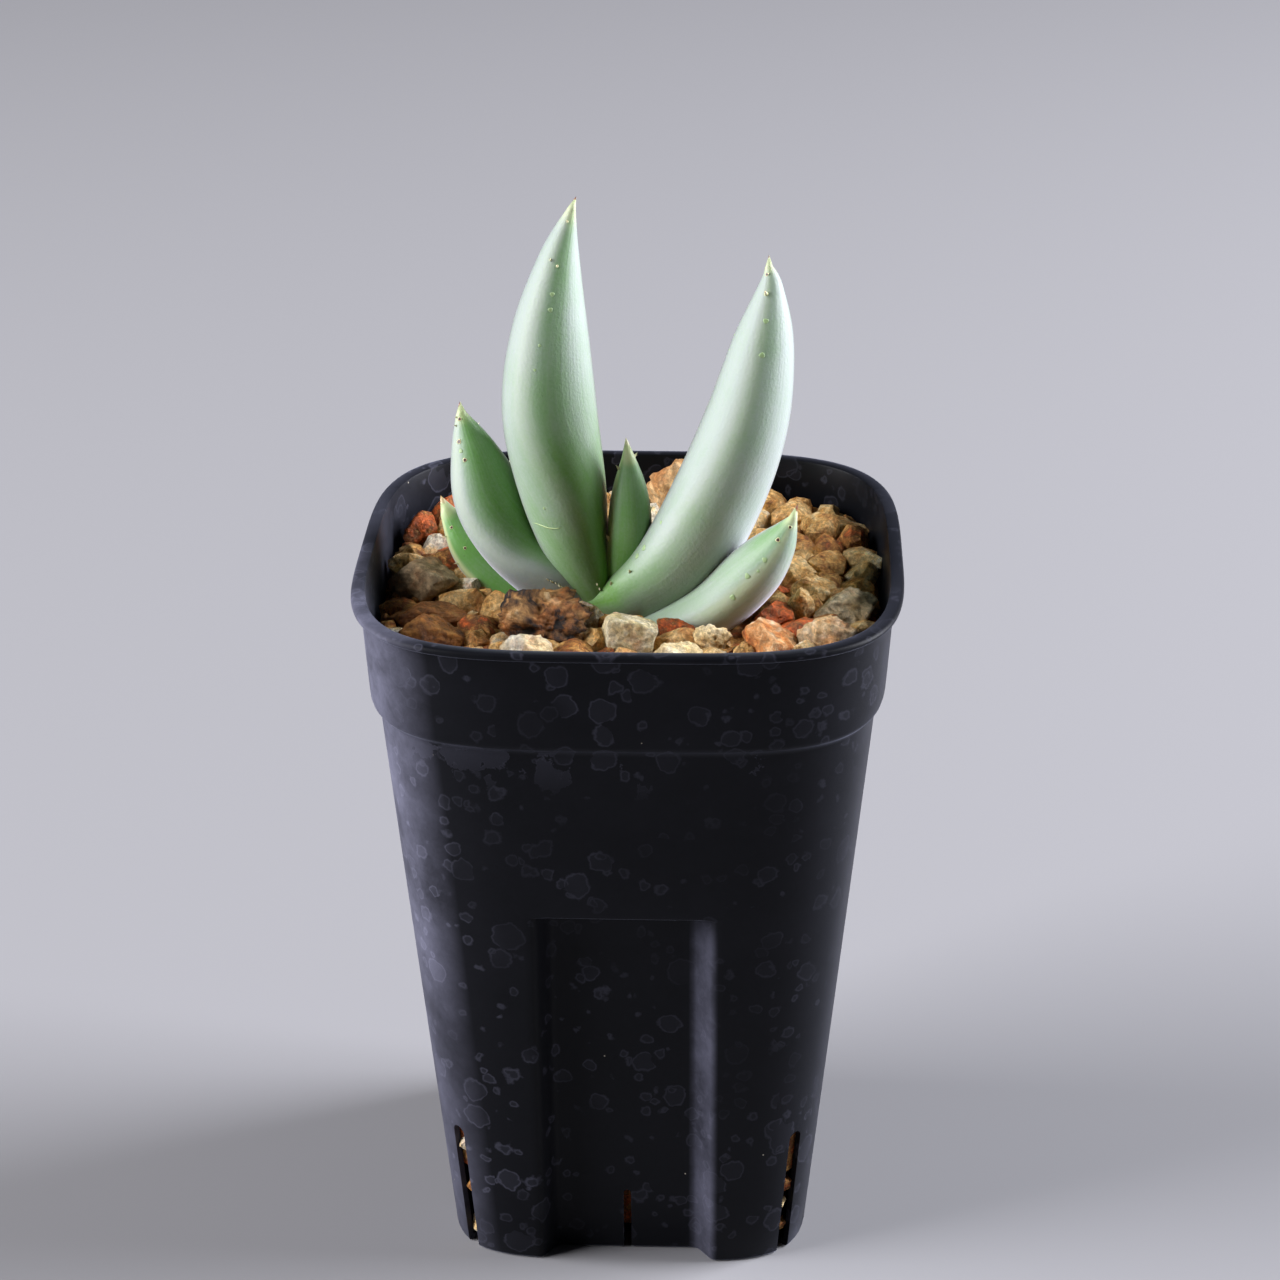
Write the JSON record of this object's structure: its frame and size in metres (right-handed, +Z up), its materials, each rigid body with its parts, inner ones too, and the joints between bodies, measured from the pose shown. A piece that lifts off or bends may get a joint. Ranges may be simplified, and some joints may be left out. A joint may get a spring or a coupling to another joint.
{
  "type": "potted aloe",
  "caption": "Young aloe with a fan of thick, toothed, pointed leaves in a deep square nursery pot filled with coarse grit.",
  "frame": {"origin": "centre of the pot's foot, on the surface that it stands on", "axes": "+Z up; -Y is the front, which the broad fan of leaves faces; +X is the pot's right side seen from the front"},
  "size_m": [0.0898, 0.0898, 0.1804],
  "materials": {
    "black_plastic": "moulded black polypropylene, satin, with pale water stains",
    "grit": "coarse tan and orange grit, matt",
    "stem": "short green living stem, matt",
    "aloe_leaf": "living succulent leaf, pale blue-green with a waxy bloom",
    "stone_brown": "rough brown stone with dark patches",
    "stone_grey_yellow": "rough grey-yellow stone",
    "stone_cream": "rough cream stone",
    "stone_orange": "rough orange-brown stone",
    "stone_tan": "rough tan stone"
  },
  "bodies": {
    "root": {"pot": "black_plastic", "grit_bed": "grit", "stem": "stem", "leaf_centre": "aloe_leaf", "leaf_tall_left": "aloe_leaf", "leaf_tall_right": "aloe_leaf", "leaf_medium_left": "aloe_leaf", "leaf_small_left": "aloe_leaf", "leaf_small_right": "aloe_leaf", "stone_brown": "stone_brown", "stone_square": "stone_grey_yellow", "stone_cream_patch": "stone_cream", "stone_cream_front": "stone_cream", "stone_knobbly": "stone_cream", "stone_orange": "stone_orange", "stone_granular": "stone_tan", "stone_oval": "stone_tan", "stone_grey": "stone_grey_yellow", "stone_long": "stone_orange", "stone_tan": "stone_tan", "stone_back": "stone_tan"}
  },
  "joints": []
}
